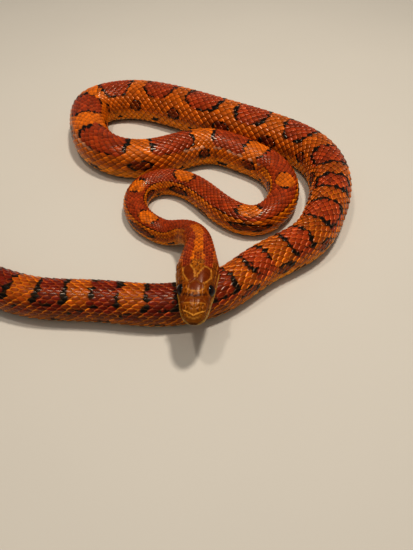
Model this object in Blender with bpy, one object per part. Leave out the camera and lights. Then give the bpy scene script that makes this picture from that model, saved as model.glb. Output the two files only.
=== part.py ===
# Corn snake, life size, lying still in loose coils with its head resting over its own body.
# Metres, +Z up. The floor is z = 0 and the origin is under the middle of the whole snake.
# The camera side of the pose is -Y: the head looks that way.
import math

import bmesh
import bpy
import numpy as np
from mathutils import Vector

# The line of the spine seen from above, from the tip of the snout to the tip of the tail.
ROUTE = [
    (0.0705, -0.0994), (0.0720, -0.0825), (0.0734, -0.0660), (0.0731, -0.0560), (0.0716, -0.0490),
    (0.0663, -0.0397), (0.0565, -0.0350), (0.0465, -0.0285), (0.0395, -0.0170), (0.0415, -0.0025),
    (0.0510, 0.0043), (0.0635, 0.0025), (0.0770, -0.0095), (0.0890, -0.0225), (0.1005, -0.0270),
    (0.1125, -0.0190), (0.1180, -0.0050), (0.1145, 0.0125), (0.0995, 0.0260), (0.0795, 0.0350),
    (0.0640, 0.0315), (0.0450, 0.0230), (0.0260, 0.0240), (0.0100, 0.0370), (0.0020, 0.0585),
    (0.0025, 0.0780), (0.0215, 0.0875), (0.0485, 0.0815), (0.0855, 0.0615), (0.1195, 0.0430),
    (0.1390, 0.0255), (0.1440, 0.0030), (0.1370, -0.0230), (0.1255, -0.0415), (0.1030, -0.0570),
    (0.0825, -0.0730), (0.0595, -0.0800), (0.0310, -0.0780), (0.0030, -0.0760), (-0.0240, -0.0670),
    (-0.0510, -0.0570), (-0.0750, -0.0445), (-0.0915, -0.0230), (-0.0960, 0.0050),
    (-0.0865, 0.0310), (-0.0820, 0.0570), (-0.0935, 0.0800), (-0.1165, 0.0890),
    (-0.1395, 0.0800), (-0.1515, 0.0590), (-0.1475, 0.0350), (-0.1315, 0.0210), (-0.1135, 0.0230),
]

# Width and height of the body at distances from the snout.
GIRTH = [
    (0.032, 0.0158, 0.0118), (0.037, 0.0134, 0.0116), (0.044, 0.0123, 0.0112),
    (0.055, 0.0123, 0.0110), (0.080, 0.0127, 0.0113), (0.105, 0.0132, 0.0118),
    (0.130, 0.0144, 0.0127), (0.155, 0.0150, 0.0132), (0.190, 0.0155, 0.0136),
    (0.228, 0.0178, 0.0156), (0.268, 0.0202, 0.0178), (0.325, 0.0218, 0.0192),
    (0.405, 0.0240, 0.0211), (0.465, 0.0260, 0.0228), (0.525, 0.0248, 0.0218),
    (0.605, 0.0206, 0.0181), (0.685, 0.0182, 0.0160), (0.785, 0.0174, 0.0153),
    (0.875, 0.0160, 0.0141), (0.955, 0.0128, 0.0112), (1.005, 0.0096, 0.0084),
    (1.065, 0.0058, 0.0051), (1.100, 0.0034, 0.0031), (1.125, 0.0012, 0.0012),
]

# Lengths of the body by name, each up to a distance from the snout. The vent ends hindbody_4.
LENGTHS = [
    ("neck", 0.100), ("forebody_1", 0.202), ("forebody_2", 0.300), ("midbody_1", 0.396),
    ("midbody_2", 0.492), ("midbody_3", 0.592), ("hindbody_1", 0.690), ("hindbody_2", 0.790),
    ("hindbody_3", 0.872), ("hindbody_4", 0.955), ("tail_1", 1.040), ("tail_2", None),
]

GAP = 0.0003             # between touching pieces
HEAD_LENGTH = 0.032      # snout to the back of the jaws
HEAD_LIFT = 0.0170       # underside of the head above the floor
LIFT_END = 0.076         # where the neck comes down to the floor, from the snout
SCUTE_PITCH = 0.0047     # along the belly from scute to scute where the snake is thickest
SCUTE_PITCH_SHARE = 0.5  # of that pitch that stays where the body thins away
THICKEST = 0.0260
SCUTE_STEP = 0.0003      # how far a scute's rear edge stands over the front of the next
SCUTE_RAMP = 0.22        # share of a scute that slopes down from its tucked front to its flat

BELLY_FLAT = 0.55        # share of the half width that lies flat on the floor
WIDEST = 0.42            # height of the widest line, as a share of the height
ROUNDNESS = 2.15         # superellipse power of the back

# Head outline: distance from the snout, half width, top and underside above the head's base,
# then the superellipse power and the inward lean of its upper half.
HEAD = [
    (0.0000, 0.0018, 0.0061, 0.0041, 2.2, 0.10), (0.0006, 0.0026, 0.0070, 0.0030, 2.2, 0.12),
    (0.0020, 0.0038, 0.0080, 0.0018, 2.3, 0.14), (0.0040, 0.0048, 0.0088, 0.0011, 2.5, 0.16),
    (0.0065, 0.0056, 0.0094, 0.0007, 2.6, 0.17), (0.0095, 0.0062, 0.0100, 0.0004, 2.7, 0.16),
    (0.0125, 0.0069, 0.0106, 0.0002, 2.7, 0.15), (0.0155, 0.0075, 0.0110, 0.0001, 2.7, 0.14),
    (0.0190, 0.0080, 0.0114, 0.0000, 2.6, 0.12), (0.0230, 0.0086, 0.0117, 0.0000, 2.5, 0.10),
    (0.0275, 0.0088, 0.0119, 0.0000, 2.3, 0.05), (0.0320, 0.0079, 0.0118, 0.0000, 2.15, 0.0),
]
HEAD_LIP_LEVEL = 0.36    # height of the widest line of the head, as a share of its height
CHIN_FLAT = 0.30         # share of the half width that is flat under the snout
HEAD_RING_STEP = 0.0020

MOUTH_BACK = 0.0235      # corner of the mouth, from the snout
MOUTH = [(-0.002, 0.0037), (0.004, 0.0034), (0.010, 0.0035), (0.015, 0.0038), (0.020, 0.0034),
         (0.026, 0.0030)]

EYE_RADIUS = 0.0025
EYE_BACK = 0.0138        # centre of the eye from the snout
EYE_OUT = 0.0050         # from the middle of the head
EYE_UP = 0.0070          # above the head's base
NOSTRIL = (0.0026, 0.0039, 0.0061)
NOSTRIL_RADIUS = 0.0005

PLATE_RISE = 0.00026     # how far a head plate stands over the skin between plates
PLATE_ROOT = 0.0006      # how deep it is sunk
ROSTRAL_BACK = 0.0012    # the plates at the tip of the snout and chin reach back to here
PLATE_SEAM = 0.00013     # half of the seam between two plates
PLATE_STEP = 0.0028      # longest edge of a plate's own mesh

# Plates on top of the head, by their corners: distance from the snout, distance from the middle.
# Those of the left side are mirrored, and the frontal spans both sides.
PAIRED_TOP = {
    "internasal": [(0.0016, 0.0), (0.0036, 0.0), (0.0040, 0.0024), (0.0022, 0.0027)],
    "prefrontal": [(0.0036, 0.0), (0.0080, 0.0), (0.0086, 0.0026), (0.0074, 0.0042),
                   (0.0045, 0.0038), (0.0040, 0.0024)],
    "supraocular": [(0.0086, 0.0026), (0.0140, 0.0022), (0.0158, 0.0034), (0.0160, 0.0051),
                    (0.0106, 0.0049), (0.0080, 0.0043)],
    "parietal": [(0.0158, 0.0), (0.0140, 0.0022), (0.0162, 0.0046), (0.0200, 0.0058),
                 (0.0232, 0.0040), (0.0238, 0.0016), (0.0222, 0.0)],
}
FRONTAL = [(0.0080, 0.0), (0.0086, 0.0026), (0.0140, 0.0022), (0.0158, 0.0),
           (0.0140, -0.0022), (0.0086, -0.0026)]

# Plates on each side of the head: distance from the snout, height over the head's base.
SIDE_PLATES = {
    "nasal": [(0.0012, 0.0052), (0.0014, 0.0070), (0.0036, 0.0078), (0.0044, 0.0058)],
    "loreal": [(0.0044, 0.0058), (0.0038, 0.0079), (0.0076, 0.0086), (0.0080, 0.0064)],
    "preocular": [(0.0080, 0.0064), (0.0076, 0.0087), (0.0104, 0.0096), (0.0110, 0.0068)],
    "postocular_upper": [(0.0170, 0.0078), (0.0164, 0.0100), (0.0186, 0.0098), (0.0192, 0.0076)],
    "postocular_lower": [(0.0166, 0.0056), (0.0170, 0.0077), (0.0192, 0.0075), (0.0190, 0.0058)],
    "temporal_front": [(0.0191, 0.0060), (0.0187, 0.0099), (0.0222, 0.0100), (0.0232, 0.0064)],
    "temporal_rear": [(0.0233, 0.0064), (0.0223, 0.0100), (0.0256, 0.0102), (0.0268, 0.0068)],
}

# Lip plates along each side of the mouth: their ends, and how far they reach from its line.
UPPER_LIP = [0.0016, 0.0040, 0.0062, 0.0086, 0.0112, 0.0140, 0.0170, 0.0203, 0.0236]
UPPER_LIP_DEPTH = 0.0023
LOWER_LIP = [0.0028, 0.0046, 0.0064, 0.0084, 0.0106, 0.0130, 0.0156, 0.0184, 0.0212]
LOWER_LIP_DEPTH = 0.0018
CHIN = [[(0.0050, 0.0003), (0.0050, 0.0026), (0.0100, 0.0032), (0.0104, 0.0003)],
        [(0.0106, 0.0003), (0.0102, 0.0032), (0.0150, 0.0030), (0.0158, 0.0003)]]

COLOURS = {
    "head": (0.50, 0.20, 0.05), "jaw": (0.62, 0.42, 0.20), "eye": (0.01, 0.008, 0.006),
    "body": (0.45, 0.12, 0.03),
}


def clear_scene():
    for item in list(bpy.data.objects):
        bpy.data.objects.remove(item, do_unlink=True)


def material(name, colour, roughness):
    found = bpy.data.materials.get(name)
    if found:
        return found
    made = bpy.data.materials.new(name)
    made.use_nodes = True
    shader = made.node_tree.nodes["Principled BSDF"]
    shader.inputs["Base Color"].default_value = (*colour, 1.0)
    shader.inputs["Roughness"].default_value = roughness
    shader.inputs["Metallic"].default_value = 0.0
    return made


def spline(keys, values):
    """Natural cubic spline through values at rising keys, as a function of the key."""
    keys = np.asarray(keys, float)
    values = np.asarray(values, float)
    values = values.reshape(len(keys), -1)
    step = np.diff(keys)
    count = len(keys)
    matrix = np.eye(count)
    right = np.zeros_like(values)
    for i in range(1, count - 1):
        matrix[i, i - 1:i + 2] = (step[i - 1], 2 * (step[i - 1] + step[i]), step[i])
        rise_after = (values[i + 1] - values[i]) / step[i]
        rise_before = (values[i] - values[i - 1]) / step[i - 1]
        right[i] = 6 * (rise_after - rise_before)
    bend = np.linalg.solve(matrix, right)

    def at(key):
        key = np.atleast_1d(np.asarray(key, float))
        i = np.clip(np.searchsorted(keys, key, side="right") - 1, 0, count - 2)
        span = step[i]
        after = ((key - keys[i]) / span)[:, None]
        before = 1 - after
        curve = (before ** 3 - before) * bend[i] + (after ** 3 - after) * bend[i + 1]
        return before * values[i] + after * values[i + 1] + curve * (span ** 2)[:, None] / 6

    return at


def smooth_step(t):
    t = min(1.0, max(0.0, t))
    return t * t * (3 - 2 * t)


class Spine:
    """The centreline, read by distance from the snout, and the body's size along it."""

    def __init__(self):
        points = np.array(ROUTE)
        chord = np.concatenate([[0], np.cumsum(np.linalg.norm(np.diff(points, axis=0), axis=1))])
        dense = spline(chord, points)(np.linspace(0, chord[-1], 6000))
        hops = np.linalg.norm(np.diff(dense, axis=0), axis=1)
        self.distance = np.concatenate([[0], np.cumsum(hops)])
        self.dense = dense
        self.length = self.distance[-1]
        stations = np.array(GIRTH)
        self.sizes = spline(stations[:, 0], stations[:, 1:])

    def lift(self, s):
        """Height of the belly over the floor: the neck comes down from the resting head."""
        return HEAD_LIFT * (1 - smooth_step((s - HEAD_LENGTH) / (LIFT_END - HEAD_LENGTH)))

    def point(self, s):
        x = np.interp(s, self.distance, self.dense[:, 0])
        y = np.interp(s, self.distance, self.dense[:, 1])
        return Vector((x, y, self.lift(s)))

    def frame(self, s):
        """Belly point, direction to the tail, left and up at a distance from the snout.

        Left is that of someone who looks towards the tail, so it is the snake's own right.
        """
        reach = 0.0004
        ahead = self.point(min(s + reach, self.length)) - self.point(max(s - reach, 0))
        along = ahead.normalized()
        left = Vector((-along.y, along.x, 0)).normalized()
        return self.point(s), along, left, along.cross(left)

    def size(self, s):
        width, height = self.sizes(s)[0]
        return width, height


def section(half, top, bottom, power, lean, flat, level, counts):
    """Points (across, up) round a cross-section, from the belly's middle up the left side."""
    belly, lower, upper = counts
    height = top - bottom
    side = []
    for i in range(1, belly + 1):
        side.append((half * flat * i / belly, bottom))
    for i in range(1, lower + 1):
        angle = math.pi / 2 * i / lower
        out = half * (flat + (1 - flat) * math.sin(angle))
        side.append((out, bottom + height * level * (1 - math.cos(angle))))
    for i in range(1, upper):
        angle = math.pi / 2 * i / upper
        rise = math.sin(angle) ** (2 / power)
        out = half * math.cos(angle) ** (2 / power) * (1 - lean * rise)
        side.append((out, bottom + height * (level + (1 - level) * rise)))
    mirrored = [(-across, up) for across, up in reversed(side)]
    return [(0.0, bottom)] + side + [(0.0, top)] + mirrored


def loft(rings):
    """One closed mesh through rings of alike point counts, with flat ends."""
    mesh = bmesh.new()
    grid = [[mesh.verts.new(point) for point in ring] for ring in rings]
    count = len(grid[0])
    for near, far in zip(grid, grid[1:]):
        for i in range(count):
            j = (i + 1) % count
            mesh.faces.new((near[i], near[j], far[j], far[i]))
    mesh.faces.new(list(reversed(grid[0])))
    mesh.faces.new(grid[-1])
    bmesh.ops.recalc_face_normals(mesh, faces=mesh.faces)
    return mesh


def add_object(name, mesh, paint):
    data = bpy.data.meshes.new(name)
    mesh.to_mesh(data)
    mesh.free()
    data.materials.append(paint)
    data.shade_smooth()
    data.set_sharp_from_angle(angle=math.radians(35))
    item = bpy.data.objects.new(name, data)
    bpy.context.scene.collection.objects.link(item)
    return item


def cut(target, cutter, operation, solver="EXACT"):
    """Apply one Boolean and remove the cutter."""
    tool = target.modifiers.new("cut", "BOOLEAN")
    tool.operation = operation
    tool.solver = solver
    tool.object = cutter
    bpy.context.view_layer.objects.active = target
    bpy.ops.object.modifier_apply(modifier=tool.name)
    bpy.data.objects.remove(cutter, do_unlink=True)


BODY_COUNTS = (1, 2, 4)
HEAD_COUNTS = (2, 4, 7)
BELLY_POINTS = (-1, 0, 1)
SCUTE_ENDS = (-2, 2)


def body_ring(spine, s, shift=0.0, tuck=0.0):
    """One ring of the body. shift moves it along the spine, and tuck raises its belly."""
    belly, along, left, up = spine.frame(s)
    width, height = spine.size(s)
    outline = section(width / 2, height, 0.0, ROUNDNESS, 0.0, BELLY_FLAT, WIDEST, BODY_COUNTS)
    start = belly + along * shift
    ring = [start + left * across + up * rise for across, rise in outline]
    for i in BELLY_POINTS:
        ring[i] = ring[i] + up * tuck
    return ring


def scute_edges(spine):
    """Distances from the snout at which one belly scute ends and the next starts."""
    edges = [HEAD_LENGTH]
    while True:
        share = float(spine.size(edges[-1])[0]) / THICKEST
        pitch = SCUTE_PITCH * (SCUTE_PITCH_SHARE + (1 - SCUTE_PITCH_SHARE) * share)
        if edges[-1] + 1.6 * pitch > spine.length:
            edges.append(spine.length)
            return edges
        edges.append(edges[-1] + pitch)


def scuted_loft(spine, edges, last):
    """A closed length of body with one ring for each scute and a step at each scute's front."""
    mesh = bmesh.new()
    full = []
    tucked = []
    risen = []
    end = len(edges) - 1
    for i, s in enumerate(edges):
        shift = GAP / 2 if i == 0 else 0.0
        if i == end and not last:
            shift = -GAP / 2
        full.append([mesh.verts.new(point) for point in body_ring(spine, s, shift)])
        if i == end:
            break
        ramp = s + shift + (edges[i + 1] - s) * SCUTE_RAMP
        step = min(SCUTE_STEP, 0.04 * float(spine.size(s)[1]))
        front = body_ring(spine, s, shift, step)
        flat = body_ring(spine, ramp)
        tucked.append({j: mesh.verts.new(front[j]) for j in BELLY_POINTS} if i else None)
        risen.append({j: mesh.verts.new(flat[j]) for j in BELLY_POINTS})
    count = len(full[0])
    for i in range(end):
        near = full[i]
        far = full[i + 1]
        for j in range(SCUTE_ENDS[1], count + SCUTE_ENDS[0]):
            mesh.faces.new((near[j], near[j + 1], far[j + 1], far[j]))
        rows = [near, tucked[i], risen[i], far]
        rows = [row for row in rows if row is not None]
        for one, two in zip(rows, rows[1:]):
            for j in (-1, 0):
                mesh.faces.new((one[j], one[j + 1], two[j + 1], two[j]))
        for end_point, inner in ((SCUTE_ENDS[0], -1), (SCUTE_ENDS[1], 1)):
            rim = [row[inner] for row in rows]
            for one, two in zip(rim, rim[1:-1]):
                mesh.faces.new((near[end_point], one, two))
            mesh.faces.new((near[end_point], rim[-2], rim[-1], far[end_point]))
    mesh.faces.new(full[0])
    mesh.faces.new(full[-1])
    bmesh.ops.recalc_face_normals(mesh, faces=mesh.faces)
    return mesh


def make_body(spine):
    edges = scute_edges(spine)
    first = 0
    for name, reach in LENGTHS:
        last = reach is None
        stop = len(edges) - 1 if last else int(np.argmin([abs(edge - reach) for edge in edges]))
        mesh = scuted_loft(spine, edges[first:stop + 1], last)
        add_object(name, mesh, material(name, COLOURS["body"], 0.42))
        first = stop


def head_frame(spine):
    """The head's base under the snout, and its directions: to the neck, left and up."""
    nape, along, left, up = spine.frame(HEAD_LENGTH)
    return nape - along * HEAD_LENGTH, along, left, up


def head_point(frame, back, across, rise):
    base, along, left, up = frame
    return base + along * back + left * across + up * rise


def head_section(back):
    keys = [station[0] for station in HEAD]
    return [float(value) for value in spline(keys, [station[1:] for station in HEAD])(back)[0]]


def head_outline(back, counts):
    """Section of the head, which turns into the body's own section at the back of the jaws."""
    half, top, bottom, power, lean = head_section(back)
    share = smooth_step(back / HEAD_LENGTH)
    flat = CHIN_FLAT + (BELLY_FLAT - CHIN_FLAT) * share
    level = HEAD_LIP_LEVEL + (WIDEST - HEAD_LIP_LEVEL) * share
    return section(half, top, bottom, power, lean, flat, level, counts)


def grown(outline, rise):
    """An outline made larger all round by about rise."""
    half = max(across for across, up in outline)
    low = min(up for across, up in outline)
    high = max(up for across, up in outline)
    middle = (low + high) / 2
    wider = 1 + rise / half
    taller = 1 + 2 * rise / (high - low)
    return [(across * wider, middle + (up - middle) * taller) for across, up in outline]


def make_head_shell(frame):
    """The whole head, jaws shut, from the snout to the back of the jaws."""
    stops = [0.0, 0.0005, ROSTRAL_BACK - 0.0001, ROSTRAL_BACK]
    steps = round((HEAD_LENGTH - 0.0024) / HEAD_RING_STEP)
    for i in range(steps + 1):
        stops.append(0.0024 + (HEAD_LENGTH - GAP / 2 - 0.0024) * i / steps)
    rings = []
    for back in stops:
        outline = head_outline(back, HEAD_COUNTS)
        if back < ROSTRAL_BACK:
            outline = grown(outline, PLATE_RISE)
        rings.append([head_point(frame, back, across, rise) for across, rise in outline])
    return loft(rings)


def mouth_block(frame, shift, back):
    """Everything below the line of the mouth and in front of its corner."""
    keys = [place for place, rise in MOUTH]
    line = spline(keys, [rise for place, rise in MOUTH])
    reach = 0.015
    rings = []
    steps = 14
    for i in range(steps + 1):
        place = MOUTH[0][0] + (back - MOUTH[0][0]) * i / steps
        top = float(line(place)[0][0]) + shift
        corners = [(-reach, -0.003), (reach, -0.003), (reach, top), (-reach, top)]
        rings.append([head_point(frame, place, across, rise) for across, rise in corners])
    return loft(rings)


def ball(centre, radius, segments):
    mesh = bmesh.new()
    bmesh.ops.create_uvsphere(mesh, u_segments=segments, v_segments=segments // 2, radius=radius)
    bmesh.ops.translate(mesh, verts=mesh.verts, vec=centre)
    return mesh


class HeadSkin:
    """The head's surface by distance from the snout and distance round from its top middle."""

    def __init__(self, frame):
        self.frame = frame
        self.known = {}

    def outline(self, back):
        """Points down one side from the top middle to the chin's, and the way along them."""
        key = round(back, 6)
        if key not in self.known:
            ring = head_outline(back, (6, 16, 28))
            half = np.array(ring[:len(ring) // 2 + 1][::-1])
            way = np.concatenate([[0], np.cumsum(np.linalg.norm(np.diff(half, axis=0), axis=1))])
            self.known[key] = (half, way)
        return self.known[key]

    def at_across(self, back, across):
        """Way round to a point of the top at this distance from the middle."""
        half, way = self.outline(back)
        widest = int(np.argmax(half[:, 0]))
        return math.copysign(float(np.interp(abs(across), half[:widest, 0], way[:widest])), across)

    def at_rise(self, back, rise):
        """Way round to a point of the side at this height."""
        half, way = self.outline(back)
        return float(np.interp(-rise, -half[:, 1], way))

    def under(self, back, across):
        """Way round to a point of the chin at this distance from the middle."""
        half, way = self.outline(back)
        widest = int(np.argmax(half[:, 0]))
        return float(np.interp(-across, -half[widest:, 0], way[widest:]))

    def point(self, back, round_way):
        half, way = self.outline(back)
        across = float(np.interp(abs(round_way), way, half[:, 0]))
        rise = float(np.interp(abs(round_way), way, half[:, 1]))
        return head_point(self.frame, back, math.copysign(across, round_way), rise)

    def normal(self, back, round_way):
        reach = 0.0003
        fore = self.point(max(back - reach, 0.0), round_way)
        rear = self.point(back + reach, round_way)
        one = self.point(back, round_way - reach)
        two = self.point(back, round_way + reach)
        return (rear - fore).cross(two - one).normalized()


def plate(skin, corners):
    """A thin raised plate over the polygon of corners (distance back, way round)."""
    corners = [Vector(corner) for corner in corners]
    middle = sum(corners, Vector((0, 0))) / len(corners)
    rim = []
    for one, two in zip(corners, corners[1:] + corners[:1]):
        parts = max(1, math.ceil((two - one).length / PLATE_STEP))
        rim += [one.lerp(two, i / parts) for i in range(parts)]
    reach = max((spot - middle).length for spot in rim)
    circles = max(1, math.ceil(reach / PLATE_STEP))
    mesh = bmesh.new()

    def place(spot, height):
        out = skin.normal(*spot)
        return mesh.verts.new(skin.point(*spot) + out * height)

    rows = []
    for i in range(circles, 0, -1):
        row = []
        for spot in rim:
            way = spot - middle
            shrunk = max(0.3, 1 - PLATE_SEAM * 1.3 / way.length)
            row.append(place(middle + way * shrunk * i / circles, PLATE_RISE))
        rows.append(row)
    floor = []
    for spot in rim:
        way = spot - middle
        shrunk = max(0.3, 1 - PLATE_SEAM * 1.3 / way.length)
        floor.append(place(middle + way * shrunk, -PLATE_ROOT))
    rows.insert(0, floor)
    count = len(rim)
    for outer, inner in zip(rows, rows[1:]):
        for i in range(count):
            j = (i + 1) % count
            mesh.faces.new((outer[i], outer[j], inner[j], inner[i]))
    top = place(middle, PLATE_RISE)
    bottom = place(middle, -PLATE_ROOT)
    for i in range(count):
        j = (i + 1) % count
        mesh.faces.new((rows[-1][i], rows[-1][j], top))
        mesh.faces.new((floor[j], floor[i], bottom))
    bmesh.ops.recalc_face_normals(mesh, faces=mesh.faces)
    return mesh


def upper_plates(skin):
    """Plates of the upper head, each a closed mesh."""
    made = []
    for side in (1, -1):
        for corners in PAIRED_TOP.values():
            ways = [(back, side * skin.at_across(back, across)) for back, across in corners]
            made.append(plate(skin, ways))
        for corners in SIDE_PLATES.values():
            made.append(plate(skin, [(back, side * skin.at_rise(back, rise)) for back, rise in corners]))
        for fore, rear in zip(UPPER_LIP, UPPER_LIP[1:]):
            made.append(plate(skin, lip_corners(skin, fore, rear, side, UPPER_LIP_DEPTH)))
    made.append(plate(skin, [(back, skin.at_across(back, across)) for back, across in FRONTAL]))
    return made


def lower_plates(skin):
    made = []
    for side in (1, -1):
        for fore, rear in zip(LOWER_LIP, LOWER_LIP[1:]):
            made.append(plate(skin, lip_corners(skin, fore, rear, side, -LOWER_LIP_DEPTH)))
        for corners in CHIN:
            made.append(plate(skin, [(back, side * skin.under(back, across)) for back, across in corners]))
    return made


def mouth_rise(back):
    keys = [place for place, rise in MOUTH]
    return float(spline(keys, [rise for place, rise in MOUTH])(back)[0][0])


def lip_corners(skin, fore, rear, side, depth):
    """Corners of one lip plate, from just past the mouth's line to depth above or below it."""
    past = math.copysign(0.0003, depth)
    corners = []
    for back, height in ((fore, -past), (fore, depth), (rear, depth), (rear, -past)):
        corners.append((back, side * skin.at_rise(back, mouth_rise(back) + height)))
    return corners


def fuse(target, pieces, paint):
    """Union of a mesh object with closed pieces, then only its largest closed surface is kept."""
    group = bpy.data.collections.new("pieces")
    bpy.context.scene.collection.children.link(group)
    items = []
    for mesh in pieces:
        item = add_object("piece", mesh, paint)
        bpy.context.scene.collection.objects.unlink(item)
        group.objects.link(item)
        items.append(item)
    tool = target.modifiers.new("fuse", "BOOLEAN")
    tool.operation = "UNION"
    tool.solver = "EXACT"
    tool.operand_type = "COLLECTION"
    tool.collection = group
    bpy.context.view_layer.objects.active = target
    bpy.ops.object.modifier_apply(modifier=tool.name)
    for item in items:
        bpy.data.objects.remove(item, do_unlink=True)
    bpy.data.collections.remove(group)


def keep_largest(target):
    """Drop every loose scrap and sealed hollow."""
    mesh = bmesh.new()
    mesh.from_mesh(target.data)
    mesh.faces.ensure_lookup_table()
    left = set(mesh.faces)
    shells = []
    while left:
        shell = {left.pop()}
        front = list(shell)
        while front:
            face = front.pop()
            for edge in face.edges:
                for other in edge.link_faces:
                    if other in left:
                        left.remove(other)
                        shell.add(other)
                        front.append(other)
        shells.append(shell)
    largest = max(shells, key=len)
    scraps = [face for shell in shells if shell is not largest for face in shell]
    bmesh.ops.delete(mesh, geom=scraps, context="FACES")
    mesh.to_mesh(target.data)
    mesh.free()


def make_head(spine):
    frame = head_frame(spine)
    skin = HeadSkin(frame)
    paint = material("head", COLOURS["head"], 0.38)
    jaw_paint = material("lower_jaw", COLOURS["jaw"], 0.42)
    head = add_object("head", make_head_shell(frame), paint)
    jaw = add_object("lower_jaw", make_head_shell(frame), jaw_paint)
    fuse(head, upper_plates(skin), paint)
    fuse(jaw, lower_plates(skin), jaw_paint)
    cut(head, add_object("below", mouth_block(frame, GAP / 2, MOUTH_BACK + GAP / 2), paint), "DIFFERENCE")
    cut(jaw, add_object("above", mouth_block(frame, -GAP / 2, MOUTH_BACK - GAP / 2), paint), "INTERSECT",
        "MANIFOLD")
    for side, label in ((1, "eye_right"), (-1, "eye_left")):
        centre = head_point(frame, EYE_BACK, side * EYE_OUT, EYE_UP)
        socket = add_object("socket", ball(centre, EYE_RADIUS + GAP, 16), paint)
        cut(head, socket, "DIFFERENCE")
        nostril = head_point(frame, NOSTRIL[0], side * NOSTRIL[1], NOSTRIL[2])
        cut(head, add_object("nostril", ball(nostril, NOSTRIL_RADIUS, 10), paint), "DIFFERENCE")
        add_object(label, ball(centre, EYE_RADIUS, 16), material(label, COLOURS["eye"], 0.05))
    for node in (head, jaw):
        keep_largest(node)


clear_scene()
SPINE = Spine()
make_head(SPINE)
make_body(SPINE)
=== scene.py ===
# Corn snake, life size, lying still in loose coils: one continuous skin, keeled scales over it,
# belly scutes, the smooth shields of the head and glossy eyes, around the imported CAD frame.
import math

import bpy
import numpy as np
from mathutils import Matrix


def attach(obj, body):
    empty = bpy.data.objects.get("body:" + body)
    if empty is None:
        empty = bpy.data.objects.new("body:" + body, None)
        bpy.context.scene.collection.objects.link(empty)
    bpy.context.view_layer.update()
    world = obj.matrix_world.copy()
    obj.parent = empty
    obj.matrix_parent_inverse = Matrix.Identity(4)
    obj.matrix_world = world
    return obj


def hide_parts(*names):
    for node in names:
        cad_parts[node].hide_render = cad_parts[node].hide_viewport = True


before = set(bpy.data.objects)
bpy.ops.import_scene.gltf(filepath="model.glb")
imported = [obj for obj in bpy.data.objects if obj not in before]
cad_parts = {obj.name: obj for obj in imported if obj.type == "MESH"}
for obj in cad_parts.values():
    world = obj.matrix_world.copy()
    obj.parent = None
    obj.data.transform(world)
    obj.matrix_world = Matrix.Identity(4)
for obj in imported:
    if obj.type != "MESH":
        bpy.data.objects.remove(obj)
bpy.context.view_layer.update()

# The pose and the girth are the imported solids' own, in mm from the tip of the snout.
snake = {
    "route": [
        (70.5, -99.4), (72, -82.5), (73.4, -66), (73.1, -56), (71.6, -49),
        (66.3, -39.7), (56.5, -35), (46.5, -28.5), (39.5, -17), (41.5, -2.5),
        (51, 4.3), (63.5, 2.5), (77, -9.5), (89, -22.5), (100.5, -27),
        (112.5, -19), (118, -5), (114.5, 12.5), (99.5, 26), (79.5, 35),
        (64, 31.5), (45, 23), (26, 24), (10, 37), (2, 58.5),
        (2.5, 78), (21.5, 87.5), (48.5, 81.5), (85.5, 61.5), (119.5, 43),
        (139, 25.5), (144, 3), (137, -23), (125.5, -41.5), (103, -57),
        (82.5, -73), (59.5, -80), (31, -78), (3, -76), (-24, -67),
        (-51, -57), (-75, -44.5), (-91.5, -23), (-96, 5),
        (-86.5, 31), (-82, 57), (-93.5, 80), (-116.5, 89),
        (-139.5, 80), (-151.5, 59), (-147.5, 35), (-131.5, 21), (-113.5, 23)],
    # distance, width, height
    "girth": [
        (32, 15.8, 11.8), (37, 13.4, 11.6), (44, 12.3, 11.2),
        (55, 12.3, 11), (80, 12.7, 11.3), (105, 13.2, 11.8),
        (130, 14.4, 12.7), (155, 15, 13.2), (190, 15.5, 13.6),
        (228, 17.8, 15.6), (268, 20.2, 17.8), (325, 21.8, 19.2),
        (405, 24, 21.1), (465, 26, 22.8), (525, 24.8, 21.8),
        (605, 20.6, 18.1), (685, 18.2, 16), (785, 17.4, 15.3),
        (875, 16, 14.1), (955, 12.8, 11.2), (1005, 9.6, 8.4),
        (1065, 5.8, 5.1), (1100, 3.4, 3.1), (1125, 1.2, 1.2)],
    # distance, half width, top, underside, squareness, inward lean of the upper half
    "head": [
        (0, 1.8, 6.1, 4.1, 2.2, 0.10), (0.6, 2.6, 7, 3, 2.2, 0.12),
        (2, 3.8, 8, 1.8, 2.3, 0.14), (4, 4.8, 8.8, 1.1, 2.5, 0.16),
        (6.5, 5.6, 9.4, 0.7, 2.6, 0.17), (9.5, 6.2, 10, 0.4, 2.7, 0.16),
        (12.5, 6.9, 10.6, 0.2, 2.7, 0.15), (15.5, 7.5, 11, 0.1, 2.7, 0.14),
        (19, 8, 11.4, 0, 2.6, 0.12), (23, 8.6, 11.7, 0, 2.5, 0.10),
        (27.5, 8.8, 11.9, 0, 2.3, 0.05), (32, 7.9, 11.8, 0, 2.15, 0)],
    "headLength": 32,
    "headLift": 17,
    "liftEnd": 76,      # where the neck has come down to the floor
    "chinFlat": 0.30,      # share of the half width that is flat underneath, at the snout
    "bellyFlat": 0.55,     # and along the body
    "lipLevel": 0.36,      # height of the widest line as a share of the height, at the snout
    "widest": 0.42,        # and along the body
    "roundness": 2.15,
    "mouth": [(-2, 3.7), (4, 3.4), (10, 3.5), (15, 3.8),
              (20, 3.4), (26, 3)],
    "tailTaper": 3,        # the last of the tail draws in to a point
    "halfGrid": 64,        # steps in half of a section
}


def linear(hexColour):
    values = [int(hexColour[i:i + 2], 16) / 255 for i in (1, 3, 5)]
    return np.array([v / 12.92 if v <= 0.04045 else ((v + 0.055) / 1.055) ** 2.4 for v in values])


def ramp(value, start, span):
    # a soft step from 0 at the start to 1 one span further on
    t = np.clip((value - start) / span, 0.0, 1.0)
    return t * t * (3 - 2 * t)


def read(table, at):
    # the columns after the first of a table, at places between its rows
    keys, *columns = np.array(table, float).T
    found = [np.interp(at, keys, column) for column in columns]
    return found[0] if len(found) == 1 else found


def unit(vectors):
    return vectors / np.maximum(np.linalg.norm(vectors, axis=-1, keepdims=True), 1e-12)


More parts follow.
